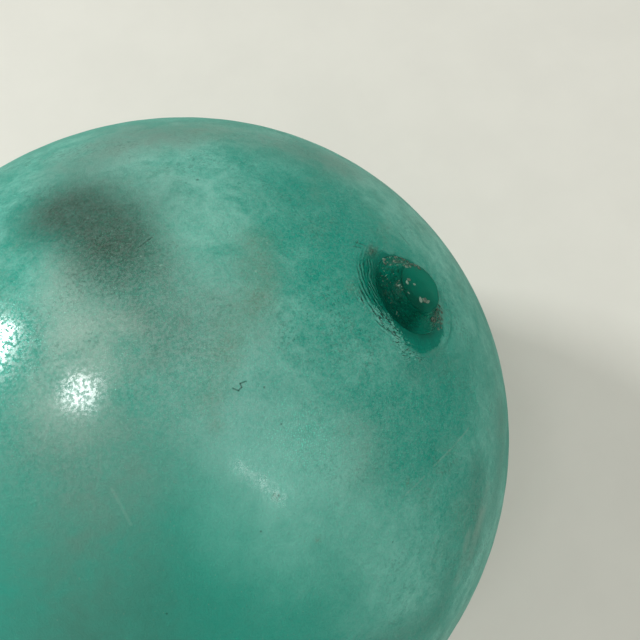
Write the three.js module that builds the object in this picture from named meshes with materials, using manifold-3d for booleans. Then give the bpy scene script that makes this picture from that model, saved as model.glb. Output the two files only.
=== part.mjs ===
// Glass float ball: a blown glass ball whose blowpipe hole is closed by a pressed seal button.
// Millimetres, +Z up. The origin is the middle of the small flat that the ball rests on,
// and the seal leans from +Z towards +X, so the XZ plane is the plane of symmetry.
import * as THREE from "three";
import { mergeVertices } from "three/addons/utils/BufferGeometryUtils.js";
import Module from "manifold-3d";

const wasm = await Module();
wasm.setup();

// Driving dimensions.
const BALL_DIAMETER = 305;
const REST_FLAT_DIAMETER = 34;
const SEAL_LEAN = THREE.MathUtils.degToRad(38.5); // seal's axis from +Z towards +X
const WALL = 4; // the blown wall, which the seal plugs right through
const DISH_DEPTH = 0.7; // the wall sinks a little round the seal, where it was reheated
const DISH_RADIUS = 27;
const HOLE_DIAMETER = 20; // left by the blowpipe
const SKIRT_DIAMETER = 28; // where the seal's gob spread over the hole's edge
const SKIRT_THICKNESS = 1.4;
const BUTTON_HEIGHT = 4.4; // pressed face above the ball's round
const BUTTON_FACE_DIAMETER = 18.6; // over its rounded rim
const BUTTON_RIM = 1; // radius of that rounding
const BUTTON_BASE_DIAMETER = 24.4;
const FACE_CROWN = 0.35; // the pressed face is almost flat
const GAP = 0.3; // left between the two glasses, which are fused in the real thing

// Worked out from them.
const BALL_RADIUS = BALL_DIAMETER / 2;
const CENTRE_HEIGHT = Math.sqrt(BALL_RADIUS ** 2 - (REST_FLAT_DIAMETER / 2) ** 2);
const HOLE_RADIUS = HOLE_DIAMETER / 2;
const SKIRT_RADIUS = SKIRT_DIAMETER / 2;
const FACE_RADIUS = BUTTON_FACE_DIAMETER / 2 - BUTTON_RIM; // of its flat part
const BASE_RADIUS = BUTTON_BASE_DIAMETER / 2;

// Fineness of the facets.
const BALL_SIDES = 72;
const BALL_RINGS = 34;
const DISH_RINGS = 6;
const SEAL_SIDES = 56;
const RIM_STEPS = 5;

// Glass colours.
const FROSTED_TEAL = new THREE.Color(0.16, 0.42, 0.34);
const CLEAR_EMERALD = new THREE.Color(0.0, 0.13, 0.09);

// Height of the ball's skin above its centre, at a distance from the seal's axis:
// a round, less a dish that fades out smoothly at DISH_RADIUS.
function skinHeight(radius) {
  const round = Math.sqrt(BALL_RADIUS ** 2 - radius ** 2);
  const inside = Math.max(0, 1 - (radius / DISH_RADIUS) ** 2);
  return round - DISH_DEPTH * inside ** 2;
}

// Half section of the ball, from the pole opposite the seal, over the skin, into the hole.
function ballProfile() {
  const points = [];
  const startAngle = Math.asin(DISH_RADIUS / BALL_RADIUS);
  for (let i = 0; i <= BALL_RINGS; i++) {
    const angle = Math.PI - (i / BALL_RINGS) * (Math.PI - startAngle);
    const radius = i === 0 ? 0 : BALL_RADIUS * Math.sin(angle);
    points.push(new THREE.Vector2(radius, BALL_RADIUS * Math.cos(angle)));
  }
  for (let i = 1; i <= DISH_RINGS; i++) {
    const radius = THREE.MathUtils.lerp(DISH_RADIUS, SKIRT_RADIUS + GAP, i / DISH_RINGS);
    points.push(new THREE.Vector2(radius, skinHeight(radius)));
  }
  const seat = skinHeight(SKIRT_RADIUS) - SKIRT_THICKNESS - GAP;
  const floor = BALL_RADIUS - WALL - DISH_DEPTH - GAP;
  points.push(new THREE.Vector2(SKIRT_RADIUS + GAP, seat));
  points.push(new THREE.Vector2(HOLE_RADIUS + GAP, seat));
  points.push(new THREE.Vector2(HOLE_RADIUS + GAP, floor));
  points.push(new THREE.Vector2(0, floor));
  return points;
}

// Half section of the seal, from the plug's underside, round the skirt, to the pressed face.
function sealProfile() {
  const seat = skinHeight(SKIRT_RADIUS) - SKIRT_THICKNESS;
  const plugFoot = BALL_RADIUS - WALL - DISH_DEPTH;
  const skirtTop = skinHeight(SKIRT_RADIUS) - 0.1;
  const faceEdge = BALL_RADIUS + BUTTON_HEIGHT - FACE_CROWN;
  const points = [
    new THREE.Vector2(0, plugFoot),
    new THREE.Vector2(HOLE_RADIUS, plugFoot),
    new THREE.Vector2(HOLE_RADIUS, seat),
    new THREE.Vector2(SKIRT_RADIUS, seat),
    new THREE.Vector2(SKIRT_RADIUS, skirtTop),
    new THREE.Vector2(SKIRT_RADIUS - 0.5, skirtTop + 0.35),
    new THREE.Vector2(BASE_RADIUS + 0.4, skirtTop + 0.45),
    new THREE.Vector2(BASE_RADIUS, skirtTop + 0.9),
  ];
  for (let i = 0; i <= RIM_STEPS; i++) {
    const angle = THREE.MathUtils.lerp(0.15, Math.PI / 2, i / RIM_STEPS);
    const radius = FACE_RADIUS + BUTTON_RIM * Math.cos(angle);
    points.push(new THREE.Vector2(radius, faceEdge - BUTTON_RIM * (1 - Math.sin(angle))));
  }
  points.push(new THREE.Vector2(FACE_RADIUS * 0.55, faceEdge + FACE_CROWN * 0.7));
  points.push(new THREE.Vector2(0, faceEdge + FACE_CROWN));
  return points;
}

// A half section turned about its axis, with that axis brought from +Y to +Z.
function turned(profile, sides) {
  return new THREE.LatheGeometry(profile, sides).rotateX(Math.PI / 2);
}

// A closed geometry as a solid that can be cut. Triangles that collapse at a pole are left out.
function solidOf(geometry) {
  const bare = geometry.clone();
  bare.deleteAttribute("normal");
  bare.deleteAttribute("uv");
  const merged = mergeVertices(bare, 1e-4);
  const corners = merged.index.array;
  const kept = [];
  for (let i = 0; i < corners.length; i += 3) {
    const [a, b, c] = corners.subarray(i, i + 3);
    if (a !== b && b !== c && c !== a) {
      kept.push(a, b, c);
    }
  }
  return new wasm.Manifold(new wasm.Mesh({
    numProp: 3,
    vertProperties: new Float32Array(merged.attributes.position.array),
    triVerts: new Uint32Array(kept),
  }));
}

function geometryOf(solid) {
  const mesh = solid.getMesh();
  const geometry = new THREE.BufferGeometry();
  geometry.setAttribute("position", new THREE.BufferAttribute(mesh.vertProperties, 3));
  geometry.setIndex(new THREE.BufferAttribute(mesh.triVerts, 1));
  geometry.computeVertexNormals();
  return geometry;
}

// The ball: a solid of revolution about the seal's axis, cut flat at z = 0 where it rests.
function blownBall() {
  const round = turned(ballProfile(), BALL_SIDES);
  round.rotateY(SEAL_LEAN).translate(0, 0, CENTRE_HEIGHT);
  const below = new THREE.BoxGeometry(BALL_DIAMETER, BALL_DIAMETER, BALL_RADIUS);
  below.translate(0, 0, -BALL_RADIUS / 2);
  const geometry = geometryOf(solidOf(round).subtract(solidOf(below)));
  const material = new THREE.MeshStandardMaterial({
    color: FROSTED_TEAL,
    roughness: 0.5,
    metalness: 0,
    transparent: true,
    opacity: 0.8,
  });
  const mesh = new THREE.Mesh(geometry, material);
  mesh.name = "blown_ball";
  return mesh;
}

// The seal: a gob of glass pressed into the hole, made upright and leaned over with its mesh.
function sealButton() {
  const material = new THREE.MeshStandardMaterial({
    color: CLEAR_EMERALD,
    roughness: 0.12,
    metalness: 0,
    transparent: true,
    opacity: 0.9,
  });
  const mesh = new THREE.Mesh(turned(sealProfile(), SEAL_SIDES), material);
  mesh.name = "seal_button";
  mesh.rotation.y = SEAL_LEAN;
  mesh.position.z = CENTRE_HEIGHT;
  return mesh;
}

const float = new THREE.Group();
float.name = "glass_float_ball";
float.add(blownBall(), sealButton());

export default float;
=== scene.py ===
"""Looks of a sea-worn glass float ball: frosted wall, sealed hollow, pressed seal and dried crust.

Laid out as an add-on and run as a script. Lengths are in metres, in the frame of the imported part.
Places round the seal are given by the distance from its axis and the angle round it: 0° is down the
ball's slope, away from the top, and 90° is across the slope.
"""
import math

import bpy
import numpy as np
from bpy.props import FloatProperty, FloatVectorProperty, IntProperty, PointerProperty
from mathutils import Matrix, Vector


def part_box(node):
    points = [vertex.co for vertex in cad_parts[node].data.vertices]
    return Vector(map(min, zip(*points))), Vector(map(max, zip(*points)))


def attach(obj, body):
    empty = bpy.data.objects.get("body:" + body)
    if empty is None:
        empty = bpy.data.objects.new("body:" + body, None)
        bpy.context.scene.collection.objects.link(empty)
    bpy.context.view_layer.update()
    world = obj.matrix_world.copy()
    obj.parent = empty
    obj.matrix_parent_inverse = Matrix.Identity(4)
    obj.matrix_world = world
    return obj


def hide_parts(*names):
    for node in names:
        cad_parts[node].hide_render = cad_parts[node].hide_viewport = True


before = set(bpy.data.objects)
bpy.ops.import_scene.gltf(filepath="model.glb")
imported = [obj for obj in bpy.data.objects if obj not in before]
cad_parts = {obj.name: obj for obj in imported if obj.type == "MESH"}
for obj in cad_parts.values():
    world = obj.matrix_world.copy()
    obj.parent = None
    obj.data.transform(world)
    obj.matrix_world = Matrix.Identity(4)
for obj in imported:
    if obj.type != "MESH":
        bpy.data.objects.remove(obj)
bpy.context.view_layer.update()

bl_info = {
    "name": "Glass float ball",
    "version": (1, 0, 0),
    "blender": (4, 5, 0),
    "location": "3D View > Sidebar > Float",
    "description": "Makes a blown glass float with its seal, and a plain studio round it",
    "category": "Add Mesh",
}

BALL_LOW, BALL_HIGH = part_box("blown_ball")
TURN = 2 * math.pi


# ---------------- sizes and colours

def length(name, description, default):
    return FloatProperty(name=name, description=description, default=default, unit="LENGTH", precision=5)


def angle(name, description, degrees):
    return FloatProperty(name=name, description=description, default=math.radians(degrees), subtype="ANGLE")


def number(name, description, default):
    return FloatProperty(name=name, description=description, default=default)


def columns(default):
    return IntProperty(name="Columns", description="Grid columns round the seal's axis", default=default)


def colour(name, description, default):
    return FloatVectorProperty(
        name=name, description=description, default=default, subtype="COLOR", min=0, max=1
    )


class FloatBallSizes(bpy.types.PropertyGroup):
    """Sizes of the blown ball."""

    radius: length("Radius", "Outside radius", min(-BALL_LOW.x, BALL_HIGH.x, BALL_HIGH.y))
    wall: length("Wall", "Thickness of the blown wall", 0.004)
    rest_radius: length("Resting flat", "Radius of the small flat underneath", 0.017)
    lean: angle("Seal's lean", "Angle of the seal's axis from +Z towards +X", 38.5)
    dish_depth: length("Dish depth", "How far the wall sinks round the seal", 0.0007)
    dish_radius: length("Dish radius", "Where the dish fades out", 0.027)
    seat_radius: length("Seat radius", "Edge of the ball's glass round the seal", 0.01406)
    seat_depth: length("Seat depth", "Depth of the step that the seal's skirt lies in", 0.00176)
    hole_radius: length("Hole radius", "Radius of the blowpipe's hole", 0.0103)
    wave: length("Waviness", "Height of the slow waves of hand blowing", 0.00007)
    ripple: length("Ripple", "Height of the drag ripples round the seal", 0.00009)
    ripple_gap: length("Ripple spacing", "From one drag ripple to the next", 0.0013)
    crizzle: length("Crizzle", "Height of the crackled edge of the unworn skin", 0.00012)
    columns: columns(576)


class FloatSealSizes(bpy.types.PropertyGroup):
    """Sizes of the pressed seal."""

    skirt_radius: length("Skirt radius", "Edge of the glass that spread over the hole", 0.014)
    skirt_thickness: length("Skirt thickness", "Thickness of that edge", 0.0014)
    plug_radius: length("Plug radius", "Radius of the glass inside the hole", 0.010)
    base_radius: length("Base radius", "Radius of the button where it leaves the skirt", 0.0122)
    face_radius: length("Face radius", "Radius of the pressed face over its rounded rim", 0.0093)
    height: length("Height", "Height of the pressed face above the ball's round", 0.0044)
    crown: length("Crown", "Rise of the pressed face in its middle", 0.00035)
    rim: length("Rim", "Radius of the rounding at the face's edge", 0.001)
    columns: columns(288)


class FloatColours(bpy.types.PropertyGroup):
    """Colours of the glass, of what the sea left on it, and of painted light and shade."""

    deep: colour("Deep teal", "Frosted glass where it is least worn", (0.012, 0.375, 0.280))
    worn: colour("Worn teal", "Frosted glass where it is most worn", (0.300, 0.790, 0.660))
    bare: colour("Bare glass", "Unworn skin round the seal", (0.000, 0.215, 0.156))
    inner: colour("Inner wall", "Tint of the clear inner wall", (0.700, 0.930, 0.860))
    emerald: colour("Emerald", "The seal's glass where it is thin", (0.000, 0.330, 0.220))
    bottle: colour("Bottle green", "The seal's glass where it is thick", (0.000, 0.105, 0.068))
    speck: colour("Speck", "Dark pits in the frosted skin", (0.020, 0.130, 0.095))
    silt: colour("Silt", "Brownish stain in the frosted skin", (0.160, 0.290, 0.205))
    # Grey haze over the skin, and the soft grey edge of the painted shadow on the upper left.
    grey_veil_and_shadow_edge: colour("Veil", "Thin grey bloom over the frosted skin", (0.160, 0.290, 0.240))
    # Partly the deep green of least worn glass and partly painted shade: the darker lower left, right side
    # and lower right rim.
    shade: colour("Shade", "Deep green of the least worn hollows", (0.020, 0.215, 0.160))
    # Pale rubbed skin, scratches and dots, and the painted glow round the highlight on the left.
    pale_wear_and_glow: colour("Bloom", "Pale bloom where the skin is rubbed thin", (0.400, 0.610, 0.520))
    # Painted shadow: the colour of the soft dark grey patch on the upper left of the skin.
    painted_shadow: colour("Smoke", "Dull grey patina in the frosted skin", (0.055, 0.100, 0.075))
    grime: colour("Grime", "Dirt in the creases round the seal", (0.002, 0.030, 0.019))
    cream: colour("Cream crust", "Pale mineral crust", (0.230, 0.350, 0.270))
    brown: colour("Brown crust", "Stained mineral crust", (0.058, 0.095, 0.066))
    floor: colour("Floor", "Plain pale floor", (0.700, 0.702, 0.640))


class FloatStudio(bpy.types.PropertyGroup):
    """Camera and lights."""

    azimuth: angle("Azimuth", "Side that the camera stands on", -22.8)
    elevation: angle("Elevation", "How steeply it looks down", 78.0)
    stand_off: length("Stand-off", "From the lens to the ball's middle", 0.253)
    aim_right: length("Aim right", "How far right of the ball's middle it looks", 0.058)
    aim_up: length("Aim up", "How far above the ball's middle it looks", 0.052)
    lens: number("Lens", "Focal length in millimetres", 25.0)
    room: number("Room light", "Strength of the even light all round", 0.64)
    key: number("Key light", "Watts of the ceiling light on the left", 3.8)
    fill: number("Fill light", "Watts of the ceiling light on the right", 0.74)
    window: number("Window light", "Watts of the soft light low on the left", 236.0)


# ---------------- surfaces

def seal_directions(ball):
    """Middle of the ball, and the seal's directions: down its slope, across it, and out along its axis."""
    middle = np.array([0.0, 0.0, math.sqrt(ball.radius**2 - ball.rest_radius**2)])
    down = [math.cos(ball.lean), 0.0, -math.sin(ball.lean)]
    across = [0.0, 1.0, 0.0]
    out = [math.sin(ball.lean), 0.0, math.cos(ball.lean)]
    return middle, np.array([down, across, out])


def held(x):
    """Numbers held from 0 to 1."""
    return np.clip(x, 0, 1)


def lattice(u, v, across, along, seed):
    """Smooth random numbers from -1 to 1 over u and v from 0 to 1: a table of seeded values, blended with
    the weight 3t² - 2t³. It repeats in u."""
    table = np.random.default_rng(seed).uniform(-1, 1, (along + 2, across))
    x, y = np.mod(u, 1.0) * across, held(v) * along
    column, row = np.floor(x).astype(int), np.floor(y).astype(int)
    s, t = x - column, y - row
    s, t = s * s * (3 - 2 * s), t * t * (3 - 2 * t)
    left, right = column % across, (column + 1) % across
    low = table[row, left] * (1 - s) + table[row, right] * s
    high = table[row + 1, left] * (1 - s) + table[row + 1, right] * s
    return low * (1 - t) + high * t


def hump(x, middle, width):
    """A smooth bell, 1 at its middle and near 0 two widths away: e to the power of minus the square."""
    return np.exp(-(((x - middle) / width) ** 2))


def facing(around, degrees, width):
    """A bell over the angles round the seal, 1 at the angle given and near 0 two widths from it."""
    return hump(np.mod(np.degrees(around) - degrees + 180, 360) - 180, 0, width)


def patches(radius, around, *places):
    """The sum of soft patches round the seal. Each has a strength, then an angle and width in degrees,
    then a distance from the axis and width in millimetres."""
    millimetres = radius * 1000
    return sum(power * facing(around, side, spread) * hump(millimetres, far, wide)
               for power, side, spread, far, wide in places)


def step(x, low, high):
    """0 below low, 1 above high, and 3t² - 2t³ between."""
    t = held((x - low) / (high - low))
    return t * t * (3 - 2 * t)


def slow_waves(points, seed, count=9, fastest=5.0):
    """Slow waves over the ball: the mean of some sines of the distance along seeded directions."""
    rng = np.random.default_rng(seed)
    ways = rng.normal(size=(count, 3))
    ways *= (rng.uniform(1.5, fastest, count) / np.linalg.norm(ways, axis=1))[:, None]
    phases = rng.uniform(0, TURN, count)
    return np.sin(points @ ways.T + phases).mean(-1)


def closed_mesh(name, grids, masks, row_slots=None):
    """One mesh from closed surfaces, each a grid of points whose rows go round an axis, from the surface's
    underside to its top. The first and last rows shrink to one point. Each surface has its masks, which
    are grids of numbers kept at the points."""
    points, corners, sizes, slots, kept = [], [], [], [], {label: [] for label in masks[0]}
    start = 0
    for grid, fields in zip(grids, masks):
        rows, columns = grid.shape[:2]
        flat = np.concatenate([grid[:1, 0], grid[1:-1].reshape(-1, 3), grid[-1:, 0]])
        inner = start + 1 + np.arange((rows - 2) * columns).reshape(rows - 2, columns)
        ahead = np.roll(inner, -1, axis=1)
        quads = np.stack([inner[:-1], ahead[:-1], ahead[1:], inner[1:]], -1)
        first = np.stack([np.full(columns, start), ahead[0], inner[0]], -1)
        last = np.stack([inner[-1], ahead[-1], np.full(columns, start + len(flat) - 1)], -1)
        corners += [first.ravel(), quads.ravel(), last.ravel()]
        sizes += [np.full(columns, 3), np.full((rows - 3) * columns, 4), np.full(columns, 3)]
        bands = np.zeros(rows - 1, int) if row_slots is None else row_slots
        slots.append(np.repeat(bands, columns))
        for label, field in fields.items():
            kept[label] += [field[:1, 0], field[1:-1].ravel(), field[-1:, 0]]
        points.append(flat)
        start += len(flat)
    points, corners, sizes = np.concatenate(points), np.concatenate(corners), np.concatenate(sizes)
    mesh = bpy.data.meshes.new(name)
    mesh.vertices.add(len(points))
    mesh.vertices.foreach_set("co", points.astype(np.float32).ravel())
    mesh.loops.add(len(corners))
    mesh.loops.foreach_set("vertex_index", corners.astype(np.int32))
    mesh.polygons.add(len(sizes))
    mesh.polygons.foreach_set("loop_start", (np.cumsum(sizes) - sizes).astype(np.int32))
    mesh.polygons.foreach_set("material_index", np.concatenate(slots).astype(np.int32))
    mesh.polygons.foreach_set("use_smooth", np.ones(len(sizes), bool))
    for label, parts in kept.items():
        values = np.concatenate(parts).astype(np.float32)
        mesh.attributes.new(label, "FLOAT", "POINT").data.foreach_set("value", values)
    mesh.update(calc_edges=True)
    if mesh.validate():
        raise RuntimeError(f"{name}: its faces don't fit together")
    return mesh


def add_piece(mesh, materials, replaced=None):
    """A new piece that moves with the part's one body, takes the finishes given and hides the part it
    replaces.
    """
    for material in materials:
        mesh.materials.append(material)
    piece = bpy.data.objects.new(mesh.name, mesh)
    bpy.context.scene.collection.objects.link(piece)
    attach(piece, "root")
    if replaced:
        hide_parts(replaced)
    return piece


# ---------------- the blown ball

def skin_height(ball, radius):
    """Height of the ball's skin above its middle: a round, less a dish that fades out as (1 - r²)²."""
    inside = np.clip(1 - (radius / ball.dish_radius) ** 2, 0, None)
    return np.sqrt(ball.radius**2 - radius**2) - ball.dish_depth * inside**2


def bare_edge(around):
    """Radius at which the unworn skin gives way to frost: a round with two bites, drawn in to the seal on
    the side that faces down the ball's slope."""
    bites = 0.0049 * facing(around, -155, 23) + 0.0050 * facing(around, 82, 34)
    return 0.0203 - bites - 0.0060 * held(1.5 * facing(around, -4, 52))


def seal_field(radius, around):
    """A place as shares of a turn and of the way from the seal's foot to the far edge of its marks."""
    return around / TURN, held((radius - 0.012) / 0.018)


def veins(field, power):
    """Thin lines where a smooth random number passes 0: 1 minus its size, to a power."""
    return (1 - np.abs(field)) ** power


def skirt_ring(radius):
    """1 on the ring of bare skin beside the seal's skirt, and 0 away from it."""
    return step(radius, 0.0138, 0.0165) * (1 - step(radius, 0.0198, 0.0228))


def drag_ripples(ball, radius, around):
    """Ripples that the gob dragged into the skin, from -1 to 1: the sine of the distance from the axis. A
    sway sets the rounds off the axis and shakes them, and a smooth random number breaks them up."""
    u, v = seal_field(radius, around)
    sway = 0.00060 * lattice(u, v, 26, 7, 13) + 0.00022 * lattice(u, v, 70, 18, 14)
    sway += 0.0042 * np.sin(around - math.radians(155))
    breaks = held(0.55 + 0.75 * lattice(u, v, 58, 15, 15))
    strays = patches(radius, around, (0.9, 122, 9, 23.6, 1.5), (0.5, 50, 10, 26.2, 1.0))
    reach = skirt_ring(radius) * (0.16 + 1.0 * facing(around, 168, 44)) + strays
    return np.sin((radius + sway) * TURN / ball.ripple_gap) * breaks * reach


def crackled_edge(radius, around, edge):
    """The crackled edge of the unworn skin, as masks of its torn band, its pale ridges and its dark
    cracks. Ridges and cracks are veins that follow the rounds, and some cracks cross them."""
    u, v = seal_field(radius, around)
    drift = v + 0.020 * lattice(u, v, 50, 10, 17)
    ragged = held(0.12 + 0.95 * facing(around, -160, 32) + 0.50 * facing(around, -124, 20))
    broken = held(0.80 + 0.8 * lattice(u, v, 34, 9, 33))
    torn = hump(radius, edge + 0.0018, 0.0037) * ragged * broken
    ridges = veins(lattice(u, drift, 170, 50, 18), 5)
    flecks = step(lattice(u, v, 200, 50, 30), 0.25, 0.65)
    round_cracks = veins(lattice(u, drift + 0.6 * u, 70, 44, 19), 8)
    round_cracks = round_cracks * step(lattice(u, v, 44, 14, 28), -0.2, 0.35)
    cross_cracks = veins(lattice(u + 0.15 * v, v, 230, 14, 31), 8)
    cross_cracks = cross_cracks * step(lattice(u, v, 40, 9, 32), -0.2, 0.3)
    ridges = held((ridges + flecks) * torn * 1.1)
    return torn, ridges, held((round_cracks + 0.8 * cross_cracks) * torn * 1.5)


def skin_stains(radius, around):
    """Masks of dried film, of glass that looks thick and dark, and of the dirty crevice along the skirt."""
    u, v = seal_field(radius, around)
    film = patches(radius, around, (1, 113, 10, 18.6, 1.7)) * (0.8 + 0.6 * lattice(u, v, 70, 20, 29))
    film += patches(radius, around, (0.9, -42, 15, 15.2, 1.2)) * (0.8 + 0.6 * lattice(u, v, 90, 30, 34))
    thick = patches(radius, around, (1, 158, 48, 13.4, 4.4), (0.7, -92, 46, 13.8, 2.4))
    crevice = 1 - step(radius, 0.0140, 0.0149 + 0.0022 * facing(around, -105, 50))
    crevice = crevice * held(0.04 + 0.9 * facing(around, 80, 30) + 0.16 * facing(around, -105, 50))
    return dict(film=held(film), thick=held(thick), crevice=crevice)


def seal_marks(ball, radius, around):
    """What the seal left in the ball's skin, as relief in metres and as masks: bare skin inside an edge
    that is soft on two sides, ripples, spokes on one side, a lip and a groove."""
    u, v = seal_field(radius, around)
    edge = bare_edge(around) + 0.0006 * lattice(u, v, 40, 6, 11) + 0.0004 * lattice(u, v, 120, 20, 12)
    soft = 0.0022 * facing(around, 150, 40) + 0.0024 * facing(around, 10, 60)
    bare = 1 - step(radius, edge - 0.0005 - 0.6 * soft, edge + 0.0007 + soft)
    ripples = drag_ripples(ball, radius, around)
    spokes = 0.35 * lattice(u, v, 330, 2, 16) * skirt_ring(radius) * facing(around, -95, 34)
    lip = patches(radius, around, (1, -25, 48, 19.7, 0.4))
    groove = patches(radius, around, (1, -48, 26, 20.8, 0.6), (0.8, -8, 30, 17.2, 1.0))
    torn, crackle, cracks = crackled_edge(radius, around, edge)
    relief = ball.ripple * (ripples + spokes + lip - 1.2 * groove)
    relief += ball.crizzle * (crackle - 0.3 * torn - 0.9 * cracks)
    masks = dict(bare=bare, crackle=crackle, cracks=cracks, rings=ripples, groove=held(groove))
    return relief, {**masks, **skin_stains(radius, around)}


def ball_grid(ball):
    """The wall of the ball as one closed surface. Its rows start at the outside pole opposite the seal,
    follow the skin up to the seal's seat, go down through the blowpipe's hole and return along the
    inner wall. The skin is a round plus relief along its outward direction."""
    dish_angle = math.asin(ball.dish_radius / ball.radius)
    far = math.pi - np.linspace(0, 1, 60) * (math.pi - dish_angle)
    marked = 0.0238
    coarse = np.linspace(ball.dish_radius, marked, 9)[1:-1]
    near = np.concatenate([coarse, np.linspace(marked, ball.seat_radius, 58)])
    skin_radius = np.concatenate([ball.radius * np.sin(far), near])
    skin_radius[0] = 0
    skin_up = np.concatenate([ball.radius * np.cos(far), skin_height(ball, near)])
    seat = skin_up[-1] - ball.seat_depth
    inside = ball.radius - ball.wall
    hole_angle = math.asin(ball.hole_radius / inside)
    back = hole_angle + np.linspace(0, 1, 30) ** 1.3 * (math.pi - hole_angle)
    inner_radius = inside * np.sin(back)
    inner_radius[-1] = 0
    skin = len(skin_radius)
    radius = np.concatenate([skin_radius, [ball.seat_radius, ball.hole_radius], inner_radius])
    up = np.concatenate([skin_up, [seat, seat], inside * np.cos(back)])
    around = np.arange(ball.columns) * TURN / ball.columns
    radius, around = np.meshgrid(radius, around, indexing="ij")
    up = np.repeat(up[:, None], ball.columns, axis=1)
    local = np.stack([radius * np.cos(around), radius * np.sin(around), up], -1)
    outward = local / np.linalg.norm(local, axis=-1, keepdims=True)
    relief, masks = seal_marks(ball, radius, around)
    seal_side = step(up, 0.0, ball.radius * 0.5)
    seal_side[skin:] = 0
    masks = {label: mask * seal_side for label, mask in masks.items()}
    relief = relief * seal_side + ball.wave * (slow_waves(outward, 5) - 1)
    middle, ways = seal_directions(ball)
    points = middle + (local + outward * relief[..., None]) @ ways
    points[:skin, :, 2] = np.maximum(points[:skin, :, 2], 0)
    slots = (np.arange(len(radius) - 1) >= skin - 1).astype(int)
    return points, slots, masks


# ---------------- the seal

SKIRT_TOP, FLANK, RIM, FACE = 4, 5, 6, 7  # stretches of the seal's outline that show


def seal_foot(seal, around):
    """Radius at which the button's flank meets its skirt: a round that bulges towards two sides."""
    u = around / TURN
    bulges = 0.0009 * facing(around, -78, 42) + 0.0005 * facing(around, 172, 45)
    return seal.base_radius + bulges + 0.0003 * lattice(u, 0 * u, 19, 1, 20)


def seal_outline(ball, seal, foot):
    """Outline of the seal, as radius and height above the ball's middle, in eight stretches: under the
    plug, up the hole, out under the skirt, round its edge, in over it, up the flank, over the rounded
    rim and across the face. Rows are its points and columns the angles round the axis."""
    seat = float(skin_height(ball, np.array(seal.skirt_radius)))
    plug_foot = ball.radius - ball.wall - ball.dish_depth
    skirt_low = seat - seal.skirt_thickness
    face_edge = ball.radius + seal.height - seal.crown
    flat = seal.face_radius - seal.rim
    edge = 0.00015
    foot_up = seat + 0.0003

    def run(low, high, count, skip=1):
        return np.linspace(low, high, count)[skip:, None] * np.ones_like(foot)

    edge_turn, rim_turn = run(0, math.pi / 2, 5), run(0.15, math.pi / 2, 12, 0)
    rim_radius, rim_up = flat + seal.rim * np.cos(rim_turn), face_edge - seal.rim * (1 - np.sin(rim_turn))
    share, flank, face = run(0, 1, 7), run(0, 1, 20)[:-1], run(1, 0, 26)
    skirt_top = seal.skirt_radius - edge
    return [
        (run(0, seal.plug_radius, 8, 0), run(plug_foot, plug_foot, 8, 0)),
        (run(seal.plug_radius, seal.plug_radius, 4), run(plug_foot, skirt_low, 4)),
        (run(seal.plug_radius, seal.skirt_radius, 4), run(skirt_low, skirt_low, 4)),
        (seal.skirt_radius - edge * (1 - np.cos(edge_turn)), seat - edge + edge * np.sin(edge_turn)),
        (skirt_top + (foot - skirt_top) * share, seat + (foot_up - seat) * share**2),
        (foot + (rim_radius[0] - foot) * flank**0.8, foot_up + (rim_up[0] - foot_up) * flank**1.15),
        (rim_radius, rim_up),
        (flat * face, face_edge + seal.crown * (1 - face**2)),
    ]


def seal_dirt(radius, around, along, part):
    """Masks of grime, in the threads of the flank and round the rim, and of patches of dried film."""
    u = around / TURN
    shade = 0.36 + 0.46 * facing(around, 155, 75) - 0.16 * facing(around, -85, 45)
    foot_fade = step(radius, 0.0122, 0.0138) * (1 - 0.55 * facing(around, -105, 50))
    grime = (0.60 + 0.6 * lattice(u, along, 60, 60, 26)) * shade * (1 - foot_fade)
    grime = grime * ((part == SKIRT_TOP) | (part == FLANK))
    rim_grime = 0.5 * step(lattice(u, along, 30, 30, 27), -0.1, 0.6) + 0.5 * facing(around, 135, 34)
    grime = grime + (part == RIM) * rim_grime
    film = patches(radius, around, (1, 76, 26, 10.6, 3.6), (1, -50, 20, 12.0, 2.2))
    film += patches(radius, around, (1, -18, 22, 9.8, 0.9), (0.6, 172, 18, 9.2, 0.7))
    specks = step(lattice(u, along, 90, 70, 35), 0.0, 0.4)
    film += patches(radius, around, (0.55, 172, 22, 11.6, 1.2)) * specks
    outside = part >= SKIRT_TOP
    return dict(grime=held(grime * outside), film=held(film * outside))


def seal_grid(ball, seal):
    """The seal as one closed surface: its outline turned about its axis, made a little out of round by
    slow sines, with rough threads on its flank and shallow dents on its face."""
    around = np.arange(seal.columns) * TURN / seal.columns
    stretches = seal_outline(ball, seal, seal_foot(seal, around))
    radius = np.concatenate([r for r, _ in stretches])
    up = np.concatenate([h for _, h in stretches])
    ends = np.cumsum([len(r) for r, _ in stretches])
    rows = np.arange(len(radius))
    part, around = np.meshgrid(np.searchsorted(ends, rows, side="right"), around, indexing="ij")
    along = (rows / len(rows))[:, None] * np.ones_like(radius)
    u = around / TURN
    flank = (part == SKIRT_TOP) | (part == FLANK)
    lobes = 0.030 * np.sin(2 * around + 0.6) + 0.020 * np.sin(3 * around + 2.1)
    lobes += 0.020 * lattice(u, 0 * u, 17, 1, 21)
    button = (part > SKIRT_TOP) * step(radius, 0.004, 0.009) * (1 - step(radius, 0.0105, 0.0125))
    rough = 0.00011 * lattice(u, along, 90, 60, 22) + 0.00006 * lattice(u, along, 180, 110, 23)
    threads = 0.00007 * np.sin(along * 330 + 2 * lattice(u, along, 14, 9, 24))
    dents = 0.00007 * lattice(u, radius / seal.skirt_radius, 9, 6, 25) * step(radius, 0.001, 0.004)
    wide = radius + seal.face_radius * lobes * button + flank * (rough + threads)
    wide += 0.5 * (part == RIM) * rough
    high = up + (part == FACE) * dents + flank * rough * 0.6
    middle, ways = seal_directions(ball)
    local = np.stack([wide * np.cos(around), wide * np.sin(around), high], -1)
    return middle + local @ ways, seal_dirt(radius, around, along, part)


# ---------------- the crust

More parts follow.
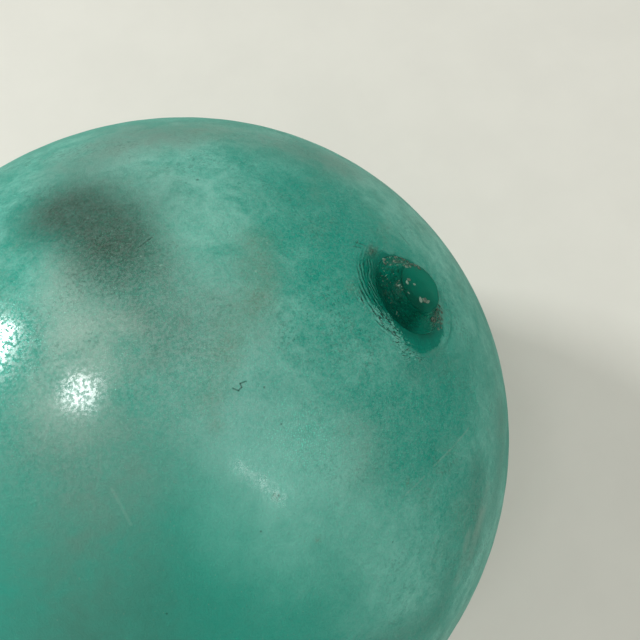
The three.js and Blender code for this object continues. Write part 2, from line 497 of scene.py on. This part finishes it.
FACE_FLAKES = (
    # from the axis, angle, long, wide, thick (mm), turned by (degrees), tone from cream to brown
    (6.1, 158, 1.4, 1.0, 0.25, 60, -0.1),
    (5.1, 142, 1.6, 1.3, 0.18, 150, 0.7),
    (3.0, 156, 1.1, 0.8, 0.18, 0, 0.2),
    (7.2, -172, 0.9, 0.5, 0.15, 120, 0.3),
    (5.2, -128, 1.9, 1.7, 0.25, 70, 0.2),
    (4.8, -108, 2.4, 1.9, 0.32, 10, 0.6),
    (5.1, -90, 2.2, 1.2, 0.25, 5, 0.4),
)
CRUST_FIELDS = (
    # distance from the axis (mm) and angle, least and most; count; smallest and largest flake (mm); tone
    ((7.4, 14.2), (52, 112), 110, (0.3, 1.2), 0.60),
    ((8.9, 9.5), (156, 186), 10, (0.3, 0.8), 0.60),
    ((9.2, 13.4), (-80, -26), 46, (0.3, 1.2), 0.85),
    ((12.6, 16.2), (-66, -18), 46, (0.3, 1.1), 0.80),
    ((9.6, 13.0), (120, 235), 26, (0.2, 0.5), 0.50),
)


def scattered_flakes(seed):
    """Flakes strewn evenly over the crust fields, from seeded random numbers."""
    rng = np.random.default_rng(seed)
    flakes = list(FACE_FLAKES)
    for reach, angles, count, sizes, tone in CRUST_FIELDS:
        for _ in range(count):
            long = rng.uniform(*sizes)
            angle_round = rng.uniform(*angles)
            turned = angle_round + 90 + rng.uniform(-40, 40)
            wide, thick = long * rng.uniform(0.4, 0.9), rng.uniform(0.06, 0.20)
            from_axis, shift = rng.uniform(*reach), rng.uniform(-0.3, 0.3)
            flakes.append((from_axis, angle_round, long, wide, thick, turned, tone + shift))
    return flakes


def crust_grid(ball, seal, flake, seed):
    """One flake of crust as a closed surface, with s from its middle to its edge: its outline is an oval
    made ragged by smooth random numbers, its underside lies just inside the glass and its top rises as
    the root of 1 - s², roughened."""
    from_axis, angle_round, long, wide, thick, turned, _ = flake
    s = np.array([0, 1, 0.9, 0.6, 0.3, 0])
    top = (np.arange(len(s)) > 1)[:, None]
    s, t = np.meshgrid(s, np.arange(10) * TURN / 10, indexing="ij")
    u = t / TURN
    ragged = 1 + 0.38 * lattice(u, 0 * u, 6, 1, seed) + 0.16 * lattice(u, 0 * u, 10, 1, seed + 1)
    x, y = long / 2 * s * ragged * np.cos(t), wide / 2 * s * ragged * np.sin(t)
    spin, start = math.radians(turned), math.radians(angle_round)
    x, y = x * math.cos(spin) - y * math.sin(spin), x * math.sin(spin) + y * math.cos(spin)
    x, y = (x + from_axis * math.cos(start)) / 1000, (y + from_axis * math.sin(start)) / 1000
    reach = np.hypot(x, y)
    shown = seal_outline(ball, seal, seal_foot(seal, np.array([start])))[SKIRT_TOP:]
    seal_radius = np.concatenate([r[:, 0] for r, _ in shown])[::-1]
    seal_up = np.concatenate([h[:, 0] for _, h in shown])[::-1]
    on_seal = np.interp(reach, seal_radius, seal_up)
    ground = np.where(reach < seal.skirt_radius, on_seal, skin_height(ball, reach))
    rise = np.sqrt(held(1 - s**2)) * (0.75 + 0.45 * lattice(u, s, 8, 4, seed + 2))
    height = ground + np.where(top, thick * rise / 1000, -0.0001)
    middle, ways = seal_directions(ball)
    return middle + np.stack([x, y, height], -1) @ ways


# ---------------- shader nodes

class Value:
    """A node's output that can be used in arithmetic. Each operation adds its Math node."""

    def __init__(self, web, socket):
        self.web = web
        self.socket = socket

    def __add__(self, other):
        return self.web.maths("ADD", self, other)

    __radd__ = __add__

    def __mul__(self, other):
        return self.web.maths("MULTIPLY", self, other)

    __rmul__ = __mul__

    def __sub__(self, other):
        return self.web.maths("SUBTRACT", self, other)

    def __rsub__(self, other):
        return self.web.maths("SUBTRACT", other, self)

    def __pow__(self, other):
        return self.web.maths("POWER", self, other)

    def between(self, low, high):
        """0 at low, 1 at high, smooth between, and held outside. Low may be above high."""
        ends = {"Value": self, "From Min": low, "From Max": high}
        return self.web.node("MapRange", dict(interpolation_type="SMOOTHSTEP"), ends)


class Web:
    """The shader nodes of one material."""

    def __init__(self, name):
        self.material = bpy.data.materials.new(name)
        self.material.use_nodes = True
        self.tree = self.material.node_tree
        self.tree.nodes.clear()

    def node(self, kind, settings=None, sockets=None, output=0):
        """Adds a node with its settings and its sockets' values or links, and gives one output."""
        made = self.tree.nodes.new("ShaderNode" + kind)
        for name, value in (settings or {}).items():
            setattr(made, name, value)
        for name, value in (sockets or {}).items():
            socket = self.find(made.inputs, name)
            if isinstance(value, Value):
                self.tree.links.new(value.socket, socket)
            elif socket.type == "RGBA":
                socket.default_value = (*value[:3], 1)
            else:
                socket.default_value = value
        return Value(self, self.find(made.outputs, output)) if len(made.outputs) else None

    def find(self, sockets, name):
        """A socket by its number, its identifier or the name that shows."""
        if isinstance(name, int):
            return sockets[name]
        same = [s for s in sockets if s.identifier == name]
        return (same or [s for s in sockets if s.enabled and s.name == name])[0]

    def maths(self, operation, *values):
        return self.node("Math", dict(operation=operation), dict(enumerate(values)))

    def vectors(self, operation, *values, output=0):
        return self.node("VectorMath", dict(operation=operation), dict(enumerate(values)), output)

    def mix(self, share, below, above):
        """Two colours mixed by a share, with above on top."""
        sockets = {"Factor_Float": share, "A_Color": below, "B_Color": above}
        return self.node("Mix", dict(data_type="RGBA"), sockets, "Result_Color")

    def coats(self, colour, *coats):
        """A colour with others laid over it, each by its share."""
        for share, over in coats:
            colour = self.mix(share, colour, over)
        return colour

    def noise(self, place, scale, detail, roughness, warp=0.0, output=0):
        sockets = {"Vector": place, "Scale": scale, "Detail": detail, "Roughness": roughness}
        return self.node("TexNoise", None, {**sockets, "Distortion": warp}, output)

    def mask(self, label):
        """A number kept at the mesh's points."""
        return self.node("Attribute", dict(attribute_name=label), None, "Fac")

    def near(self, place, spot, reach, soft):
        """1 within reach of a spot and 0 beyond reach plus soft."""
        return self.vectors("DISTANCE", place, spot, output="Value").between(reach + soft, reach)

    def stroke(self, place, start, end, width, core):
        """1 on a stroke between two spots, out to a share of its width, and 0 beyond the width, by the
        distance from the nearest point of the line."""
        along = Vector(end) - Vector(start)
        from_start = self.vectors("SUBTRACT", place, start)
        share = self.vectors("DOT_PRODUCT", from_start, tuple(along / along.length_squared), output="Value")
        held = self.node("Clamp", None, {"Value": share})
        spot = self.node("VectorMath", dict(operation="SCALE"), {0: tuple(along), "Scale": held})
        return self.vectors("DISTANCE", from_start, spot, output="Value").between(width, width * core)

    def bump(self, height, distance, strength):
        return self.node("Bump", None, {"Height": height, "Distance": distance, "Strength": strength})

    def finish(self, **values):
        """A lone Principled surface on the material's output. Underlines in names stand for spaces."""
        shader = self.node("BsdfPrincipled", None, {k.replace("_", " "): v for k, v in values.items()})
        self.node("OutputMaterial", None, {"Surface": shader})
        return self.material


def own_place(web, ball, size, turned=False):
    """Where a point of the piece lies from the ball's middle, times a size, and turned to the seal's own
    directions if asked."""
    middle, ways = seal_directions(ball)
    if not turned:
        ways = np.eye(3)
    sockets = {"Vector": web.node("TexCoord", None, None, "Object"), "Scale": (size,) * 3}
    sockets["Location"] = tuple(-(ways @ middle) * size)
    sockets["Rotation"] = tuple(Matrix(ways.tolist()).to_euler())
    return web.node("Mapping", None, sockets)


# ---------------- materials

# Places on the skin are x and y in millimetres from the ball's middle, seen from above.
# Partly rubbed pale glass and partly painted light: broad lighter patches, most of all down the middle of
# the ball.
PALE_AND_LIT_ZONES = (
    # x and y of both ends, half width (mm), strength
    (26, 72, 41, 29, 37, 0.36), (41, 3, 34, -30, 27, 0.46), (43, -43, 56, -73, 40, 0.52),
    (24, -18, 38, -53, 37, 0.10), (95, 64, 125, 23, 30, 0.15),
)
# Partly least worn glass and partly painted shade: they darken the lower part, the right side and the top
# rim of the ball.
DEEP_AND_SHADED_ZONES = (
    (79, 46, 81, 18, 49, 0.58), (101, -30, 82, -46, 46, 0.56), (52, -17, 61, -38, 24, 0.34),
    (-15, -40, 12, -73, 70, 0.85), (64, -95, 84, -82, 18, 0.60), (137, 8, 122, -69, 30, 0.35),
    (3, 110, 69, 104, 24, 0.40),
)
SMOOTH_SPOT = (-8, -55)
POLISHED_SPOT = (5, 8)
# Painted shadow: strokes of a soft dark patch on the upper left, where a shadow fell on the skin.
CAST_SHADOW_ZONES = (
    (9, 56, 19, 42, 22, 0.95), (17, 35, 26, 27, 18, 0.38), (12, 67, 29, 49, 23, 0.34),
)
TINT_ZONES = {
    # Grey haze, and near the painted shadow on the upper left its soft grey edge.
    "grey_veil_and_shadow_edge": (
        (9, 5, 18, 5, 52, 0.34), (24, 24, 30, 15, 24, 0.42), (17, 15, 23, 9, 17, 0.42),
        (50, 18, 44, 6, 16, 0.30), (60, -33, 56, -41, 13, 0.24), (-3, -15, -15, -49, 30, 0.48),
        (12, 81, 37, 82, 20, 0.50), (27, 93, 95, 64, 24, 0.50),
    ),
    # Painted shade, partly least worn glass: darker lower left, right side, lower right rim and the glass
    # below the seal.
    "shade": (
        (-24, -58, -9, -56, 41, 0.52), (116, -52, 101, -76, 15, 0.42), (63, -98, 72, -88, 12, 0.30),
        (87, -83, 93, -64, 13, 0.56), (40, -92, 55, -95, 15, 0.45), (84, -23, 94, -21, 10, 0.34),
    ),
    # Pale rubbed skin and a painted glow: the first three strokes are a painted glow round the highlight on
    # the left, the fourth a pale haze on the upper left, the last two pale streaks by the lower right rim.
    "pale_wear_and_glow": (
        (0, 5, 8, 12, 18, 0.72), (6, 18, 5, 34, 12, 0.50), (5, -8, 6, -8, 9, 0.10),
        (30, 67, 46, 38, 30, 0.14), (98, -69, 81, -88, 4.5, 0.30), (84, -79, 75, -90, 4, 0.30),
    ),
}
SILT_LINES = (
    (56, 27, 49, 11, 9, 0.95), (49, 11, 40, 5, 9, 1.00), (40, 5, 30, -9, 8, 0.85),
    (30, -9, 29, -17, 3.5, 0.50),
)
PALE_SCRATCHES = (
    # x and y of both ends, strength
    (2.5, -21, 3.5, -30, 0.14), (96, -47, 90, -48.5, 0.26), (90, -48.5, 85.5, -49.5, 0.18),
    (85.5, -49.5, 78, -51, 0.24), (74, -52, 67.5, -53.5, 0.22), (67.5, -53.5, 65, -54, 0.18),
)
DARK_SCRATCHES = (
    (25, 35, 29, 37), (35.5, -10, 36.5, -11), (36.5, -11, 37.5, -10.5), (37.5, -10.5, 37.5, -9.5),
    (37.5, -9.5, 39, -9.5), (84, 21, 87, 19), (82.5, 19.5, 85, 18.5), (103.5, 23.5, 105, 18),
    (87, -17.5, 87, -21.5),
)
DARK_DOTS = (
    # place, radius (mm)
    (42.5, -12.5, 0.35), (43, -22.5, 0.3), (58, -63.5, 0.3), (45.5, 55, 0.55), (42, 54.5, 0.35),
    (29, -44, 0.3), (36, -38, 0.35), (2.5, -52, 0.3), (60, 2, 0.3),
)
PALE_DOTS = (
    (25, 32, 0.3), (29, 27.5, 0.4), (51.5, 18, 0.4), (57.5, 26, 0.3), (51, 10, 0.3),
)
SMUDGES = (
    (56, -30, 3.4), (58, -36, 2.4), (68, -50, 2.7), (40, -52, 2.1), (36, -38, 2.1), (76, 7, 4.6),
)


class Skin:
    """The frosted skin while it is painted: places on a ball of radius 1, patterns and the colour."""

    def __init__(self, web, ball):
        self.web = web
        self.radius = ball.radius * 1000
        self.place = own_place(web, ball, 1 / ball.radius)
        wander = web.noise(self.place, 3.2, 5, 0.6, output="Color")
        shift = web.vectors("SUBTRACT", wander, (0.5, 0.5, 0.5))
        self.far_strayed = web.vectors("MULTIPLY_ADD", shift, (0.34, 0.34, 0.34), self.place)
        self.strayed = web.vectors("MULTIPLY_ADD", shift, (0.09, 0.09, 0.09), self.place)
        stretched = web.vectors("MULTIPLY", self.far_strayed, (1.0, 1.0, 2.6))
        self.streaks = web.noise(stretched, 6.0, 5, 0.62).between(0.32, 0.68)
        self.mottle = web.noise(self.place, 15.0, 5, 0.66, 0.6).between(0.30, 0.70)
        self.fine = web.noise(self.place, 60.0, 4, 0.7).between(0.28, 0.72)
        self.specks = web.noise(self.place, 190.0, 3, 0.6).between(0.46, 0.66)
        self.grain = web.noise(self.place, 240.0, 2, 0.6)
        self.pits = self.grain.between(0.60, 0.70)
        self.smooth = self.spot(self.far_strayed, *SMOOTH_SPOT, 30, 61)
        self.colour = None

    def direction(self, x, y):
        """The direction from the ball's middle to a place on its upper half."""
        x, y = x / self.radius, y / self.radius
        return x, y, math.sqrt(1 - x * x - y * y)

    def stroke(self, place, ends, width, core=0.0):
        start, end = self.direction(*ends[:2]), self.direction(*ends[2:])
        return self.web.stroke(place, start, end, width / self.radius, core)

    def spot(self, place, x, y, reach, soft):
        return self.web.near(place, self.direction(x, y), reach / self.radius, soft / self.radius)

    def paint(self, share, over):
        self.colour = self.web.mix(share, self.colour, over)


def paint_wear_and_light(skin, colours):
    """Ground glass between deep and worn teal, by clouds, streaks, mottling, grain and the zones. The pale
    and deep zones are partly worn glass and partly painted light and shade; the tint zones add a grey
    haze, the soft edge of the painted shadow, painted shade, pale rubbed marks and a painted glow.
    """
    web = skin.web
    clouds = web.noise(skin.place, 2.6, 6, 0.60, 0.4).between(0.32, 0.68)
    texture = (clouds - 0.5) * 0.26 + (skin.streaks - 0.5) * 0.22
    texture = texture + (skin.mottle - 0.5) * 0.30 + (skin.fine - 0.5) * 0.26
    wear_and_light = 0.40 + texture * (1 - skin.smooth * 0.7)
    for *ends, width, strength in PALE_AND_LIT_ZONES:
        wear_and_light = wear_and_light + skin.stroke(skin.far_strayed, ends, width) * (strength * 0.8)
    for *ends, width, strength in DEEP_AND_SHADED_ZONES:
        wear_and_light = wear_and_light * (1 - skin.stroke(skin.far_strayed, ends, width) * strength)
    wear_and_light = wear_and_light + (skin.grain - 0.5) * 0.35 * (1 - skin.smooth * 0.8)
    skin.colour = web.mix(wear_and_light.between(-0.05, 1.05), colours.deep, colours.worn)
    cloudy = skin.mottle * 0.7 + skin.streaks * 0.5 + 0.4
    for tint, zones in TINT_ZONES.items():
        for *ends, width, strength in zones:
            skin.paint(skin.stroke(skin.strayed, ends, width) * cloudy * strength, getattr(colours, tint))


def paint_stains(skin, colours):
    """Silt in a wandering line and in loose patches, nests of dark dots, and a painted shadow: a soft dark
    grey-green patch on the upper left.
    """
    web, rough = skin.web, 1 - skin.smooth
    line = 0.0
    for *ends, width, strength in SILT_LINES:
        line = web.maths("MAXIMUM", line, skin.stroke(skin.strayed, ends, width, 0.1) * strength)
    skin.paint(line * (skin.specks * 0.34 + 0.44) * (skin.mottle * 0.5 + 0.5), colours.silt)
    loose = web.noise(skin.place, 4.3, 5, 0.66, 0.5).between(0.50, 0.72)
    skin.paint(loose * (skin.specks * 0.35 + 0.15) * rough, colours.silt)
    nests = web.noise(skin.place, 8.0, 4, 0.6).between(0.46, 0.64) * rough
    dots = web.noise(skin.place, 150.0, 2, 0.5).between(0.53, 0.62)
    skin.paint(nests * dots * 0.38, colours.speck)
    # The painted shadow, mottled so that the grain shows through it.
    shadow_mottle = 0.86 + skin.specks * 0.10 + (skin.grain - 0.5) * 0.5 + (skin.mottle - 0.5) * 0.16
    for *ends, width, strength in CAST_SHADOW_ZONES:
        skin.paint(skin.stroke(skin.strayed, ends, width, 0.15) * shadow_mottle * strength, colours.painted_shadow)


def paint_marks(skin, colours):
    """Pits, pale grains, smudges, scratches and dots."""
    skin.paint(skin.pits * (0.22 - skin.smooth * 0.16), colours.speck)
    skin.paint(skin.web.noise(skin.place, 190.0, 2, 0.5).between(0.68, 0.76) * 0.28, colours.cream)
    for x, y, reach in SMUDGES:
        skin.paint(skin.spot(skin.strayed, x, y, 0, reach) * (skin.specks * 0.6 + 0.15), colours.silt)
    for *ends, strength in PALE_SCRATCHES:
        skin.paint(skin.stroke(skin.place, ends, 0.5, 0.3) * strength, colours.pale_wear_and_glow)
    for ends in DARK_SCRATCHES:
        skin.paint(skin.stroke(skin.place, ends, 0.32, 0.3) * 0.6, colours.grime)
    for dots, over in ((DARK_DOTS, colours.grime), (PALE_DOTS, colours.pale_wear_and_glow)):
        for x, y, reach in dots:
            skin.paint(skin.spot(skin.place, x, y, reach * 0.3, reach) * 0.6, over)


def paint_by_seal(skin, bare, colours):
    """The clear unworn skin round the seal, with its ripples, crackle, film and dirt."""
    web = skin.web
    clear = web.mix(skin.fine * 0.5, colours.bare, colours.emerald)
    rings = web.mask("rings")
    skin.colour = web.coats(
        skin.colour,
        (bare, web.mix(web.mask("thick"), clear, colours.bottle)),
        (rings.between(0.10, 0.7) * 0.22, colours.worn),
        (rings.between(-0.15, -0.7) * 0.75, colours.grime),
        (web.mask("crackle").between(0.20, 0.9) * 0.50, colours.worn),
        (web.mask("cracks").between(0.12, 0.6) * 0.85, colours.grime),
        (web.mask("film") * 0.75, web.mix(skin.specks, colours.brown, colours.cream)),
        (web.mask("crevice") * 0.8, colours.grime),
        (web.mask("groove") * 0.6, colours.bare),
    )


def frosted_skin(ball, colours):
    """Glass ground by the sea, under a thin sheen that sparkles where the skin is rough and lies calm
    where it is smooth. Round the seal the skin is clear."""
    web = Web("frosted_skin")
    skin, bare = Skin(web, ball), web.mask("bare")
    paint_wear_and_light(skin, colours)
    paint_stains(skin, colours)
    paint_marks(skin, colours)
    paint_by_seal(skin, bare, colours)
    roughness = 0.42 + skin.fine * 0.08 - skin.pits * 0.08
    height = skin.grain * 0.6 + skin.fine * 0.8
    calm = skin.smooth ** 2.0
    sparkle = web.noise(skin.place, 170.0, 2, 0.6).between(0.40, 0.62) * (1 - calm * 0.8) + calm * 0.36
    polish = skin.spot(skin.place, *POLISHED_SPOT, 15, 34)
    head_on = 1 - web.node("LayerWeight", None, {"Blend": 0.5}, "Facing")
    return web.finish(
        Base_Color=skin.colour,
        Roughness=roughness * (1 - bare) + bare * 0.20,
        IOR=1.28,
        Specular_IOR_Level=0.08,
        Specular_Tint=(0.10, 0.95, 0.80),
        Transmission_Weight=0.4,
        Coat_Weight=(1 - bare) * (0.02 + sparkle * 0.66) * (1 + polish * 1.1) * head_on,
        Coat_IOR=1.8,
        Coat_Roughness=0.14,
        Normal=web.bump(height * (1 - bare * 0.8), 0.00010, 0.7),
    )


def clear_inner_wall(ball, colours):
    """The smooth inner wall of the sealed hollow, with the faint streaks of hand-gathered glass."""
    web = Web("clear_inner_wall")
    place = own_place(web, ball, 1 / ball.radius)
    streaks = web.noise(web.vectors("MULTIPLY", place, (1.0, 1.0, 5.0)), 3.0, 3, 0.5, 1.0)
    tint = web.mix(streaks.between(0.3, 0.7) * 0.5, colours.inner, colours.worn)
    ripple = web.noise(place, 9.0, 2, 0.4)
    return web.finish(
        Base_Color=tint,
        Roughness=0.05 + streaks * 0.05,
        IOR=1.5,
        Transmission_Weight=1.0,
        Normal=web.bump(ripple, 0.0006, 0.5),
    )


def pressed_glass(ball, colours):
    """The seal's thick dark glass: a smooth pressed face, and dirt in the threads of its flank."""
    web = Web("pressed_glass")
    place = own_place(web, ball, 1000.0, turned=True)
    cloud = web.noise(place, 0.14, 3, 0.5) - 0.5
    speck = web.noise(place, 1.6, 3, 0.6)
    thin = web.vectors("DOT_PRODUCT", place, (0.078, 0.042, 0.0), output="Value") + cloud * 0.6
    # Emerald laid over the lower side of the flank.
    emerald_lower_flank = web.near(place, (-1.0, -13.0, 153.0), 2.5, 6.0)
    grime, film = web.mask("grime"), web.mask("film")
    net = web.noise(place, 1.1, 4, 0.65).between(0.40, 0.60)
    spots = web.noise(place, 2.4, 3, 0.6).between(0.56, 0.66)
    colour = web.coats(
        colours.bottle,
        (thin.between(-0.75, 0.45), colours.emerald),
        (emerald_lower_flank * 0.75, colours.emerald),
        (grime * (0.60 + speck * 0.5), colours.grime),
        (film * net * 0.85, colours.brown),
        (film * spots * 0.45, colours.cream),
    )
    return web.finish(
        Base_Color=colour,
        Roughness=0.14 + grime * 0.34,
        IOR=1.14,
        Specular_IOR_Level=0.06,
        Specular_Tint=(0.05, 0.9, 0.75),
        Transmission_Weight=0.5,
        Coat_Weight=0.02,
        Coat_Roughness=0.2,
        Normal=web.bump(speck, 0.0002, 0.3),
    )


def mineral_crust(ball, colours):
    """Dried mineral crust: cream flakes and brown ones, stained and grained."""
    web = Web("mineral_crust")
    place = own_place(web, ball, 1000.0, turned=True)
    stain = web.mask("tone") + (web.noise(place, 0.9, 4, 0.6) - 0.5) * 1.6
    grains = web.noise(place, 4.5, 3, 0.6)
    colour = web.coats(
        colours.cream,
        (stain.between(0.0, 1.0), colours.brown),
        (grains.between(0.58, 0.70) * 0.5, colours.cream),
        (grains.between(0.44, 0.34) * 0.6, colours.grime),
    )
    return web.finish(
        Base_Color=colour,
        Roughness=0.75 + grains * 0.2,
        Normal=web.bump(grains, 0.0003, 0.8),
    )


def floor_finish(colours):
    """A plain pale painted floor with the faintest mottling."""
    web = Web("pale_floor")
    place = web.node("TexCoord", None, None, "Object")
    mottle = web.noise(place, 14.0, 4, 0.6).between(0.3, 0.7)
    lighter = tuple(min(1, c * 1.03) for c in colours.floor)
    return web.finish(
        Base_Color=web.mix(mottle, colours.floor, lighter),
        Roughness=0.62 + mottle * 0.05,
        Normal=web.bump(web.noise(place, 900.0, 2, 0.5), 0.0001, 0.2),
    )


# ---------------- operators

class FLOAT_OT_blown_ball(bpy.types.Operator):
    """Makes the blown ball: one closed wall of frosted glass round its sealed hollow"""

    bl_idname = "float_ball.blown_ball"
    bl_label = "Blow the Ball"

    def execute(self, context):
        ball, colours = context.scene.float_ball, context.scene.float_colours
        points, slots, masks = ball_grid(ball)
        mesh = closed_mesh("blown_wall", [points], [masks], slots)
        finishes = [frosted_skin(ball, colours), clear_inner_wall(ball, colours)]
        add_piece(mesh, finishes, "blown_ball")
        return {"FINISHED"}


class FLOAT_OT_seal(bpy.types.Operator):
    """Makes the pressed seal over the blowpipe's hole"""

    bl_idname = "float_ball.seal"
    bl_label = "Press the Seal"

    def execute(self, context):
        ball, colours = context.scene.float_ball, context.scene.float_colours
        points, masks = seal_grid(ball, context.scene.float_seal)
        mesh = closed_mesh("pressed_seal", [points], [masks])
        add_piece(mesh, [pressed_glass(ball, colours)], "seal_button")
        return {"FINISHED"}


class FLOAT_OT_crust(bpy.types.Operator):
    """Makes the flakes of mineral crust on and round the seal"""

    bl_idname = "float_ball.crust"
    bl_label = "Grow the Crust"

    def execute(self, context):
        ball, seal = context.scene.float_ball, context.scene.float_seal
        flakes = scattered_flakes(40)
        grids = [crust_grid(ball, seal, flake, 100 + 5 * i) for i, flake in enumerate(flakes)]
        tones = [dict(tone=np.full(grid.shape[:2], flake[-1])) for grid, flake in zip(grids, flakes)]
        mesh = closed_mesh("mineral_crust", grids, tones)
        add_piece(mesh, [mineral_crust(ball, context.scene.float_colours)])
        return {"FINISHED"}


LAMPS = {
    # name: direction from the ball's middle, distance and two sizes (m)
    "key": ((-0.361, 0.236, 0.902), 2.2, (0.30, 0.30)),
    "fill": ((0.243, -0.474, 0.846), 1.8, (0.56, 0.05)),
    "window": ((-0.637, 0.531, 0.559), 6.5, (0.80, 1.30)),
}


class FLOAT_OT_studio(bpy.types.Operator):
    """Makes the plain floor, the soft lights and the camera"""

    bl_idname = "float_ball.studio"
    bl_label = "Set Up the Studio"

    def execute(self, context):
        scene = context.scene
        studio = scene.float_studio
        middle = Vector(seal_directions(scene.float_ball)[0])
        self.add_floor(scene)
        for name, lamp in LAMPS.items():
            self.add_light(scene, name + "_light", middle, getattr(studio, name), *lamp)
        self.add_room_light(scene, studio.room)
        self.add_camera(scene, studio, middle)
        scene.cycles.max_bounces = 24
        scene.cycles.transmission_bounces = 20
        scene.view_settings.view_transform = "Standard"
        return {"FINISHED"}

    def add_floor(self, scene):
        mesh = bpy.data.meshes.new("floor")
        half = 4.0
        corners = [(-half, -half, 0), (half, -half, 0), (half, half, 0), (-half, half, 0)]
        mesh.from_pydata(corners, [], [(0, 1, 2, 3)])
        mesh.materials.append(floor_finish(scene.float_colours))
        floor = bpy.data.objects.new("floor", mesh)
        scene.collection.objects.link(floor)

    def add_light(self, scene, name, middle, watts, towards, distance, size):
        """A soft rectangular light that faces the ball's middle. Its first size slopes as its direction
        does, and its second lies level."""
        light = bpy.data.lights.new(name, "AREA")
        light.shape = "RECTANGLE"
        light.size, light.size_y = size
        light.energy = watts
        lamp = bpy.data.objects.new(name, light)
        way = Vector(towards).normalized()
        lamp.location = middle + way * distance
        side = Vector((way.x, way.y, 0)).normalized()
        side = (side - way * side.dot(way)).normalized()
        lamp.rotation_mode = "QUATERNION"
        lamp.rotation_quaternion = Matrix((side, way.cross(side), way)).transposed().to_quaternion()
        scene.collection.objects.link(lamp)

    def add_room_light(self, scene, strength):
        world = bpy.data.worlds.new("room")
        world.use_nodes = True
        background = world.node_tree.nodes["Background"]
        background.inputs["Color"].default_value = (1.0, 0.985, 0.94, 1)
        background.inputs["Strength"].default_value = strength
        scene.world = world

    def add_camera(self, scene, studio, middle):
        """Looks along the view direction at a place beside the ball's middle."""
        azimuth, elevation = studio.azimuth, studio.elevation
        flat = Vector((math.sin(azimuth), -math.cos(azimuth), 0))
        back = flat * math.cos(elevation) + Vector((0, 0, math.sin(elevation)))
        right = Vector((math.cos(azimuth), math.sin(azimuth), 0))
        up = back.cross(right)
        data = bpy.data.cameras.new("camera")
        data.lens = studio.lens
        data.sensor_width = 36
        data.clip_start = 0.01
        camera = bpy.data.objects.new("camera", data)
        camera.location = middle + back * studio.stand_off + right * studio.aim_right + up * studio.aim_up
        camera.rotation_mode = "QUATERNION"
        camera.rotation_quaternion = Matrix((right, up, back)).transposed().to_quaternion()
        scene.collection.objects.link(camera)
        scene.camera = camera


class FLOAT_PT_panel(bpy.types.Panel):
    """The float's sizes, colours and steps"""

    bl_label = "Glass float ball"
    bl_space_type = "VIEW_3D"
    bl_region_type = "UI"
    bl_category = "Float"

    def draw(self, context):
        layout = self.layout
        for maker in STEPS:
            layout.operator(maker.bl_idname)
        for group in GROUPS:
            box = layout.box()
            values = getattr(context.scene, group)
            for name in values.__annotations__:
                box.prop(values, name)


STEPS = (FLOAT_OT_blown_ball, FLOAT_OT_seal, FLOAT_OT_crust, FLOAT_OT_studio)
GROUPS = {
    "float_ball": FloatBallSizes,
    "float_seal": FloatSealSizes,
    "float_colours": FloatColours,
    "float_studio": FloatStudio,
}


def register():
    for item in (*GROUPS.values(), *STEPS, FLOAT_PT_panel):
        bpy.utils.register_class(item)
    for name, group in GROUPS.items():
        setattr(bpy.types.Scene, name, PointerProperty(type=group))


def unregister():
    for name in GROUPS:
        delattr(bpy.types.Scene, name)
    for item in reversed((*GROUPS.values(), *STEPS, FLOAT_PT_panel)):
        bpy.utils.unregister_class(item)


def main():
    register()
    for maker in ("blown_ball", "seal", "crust", "studio"):
        getattr(bpy.ops.float_ball, maker)()


if __name__ == "__main__":
    main()
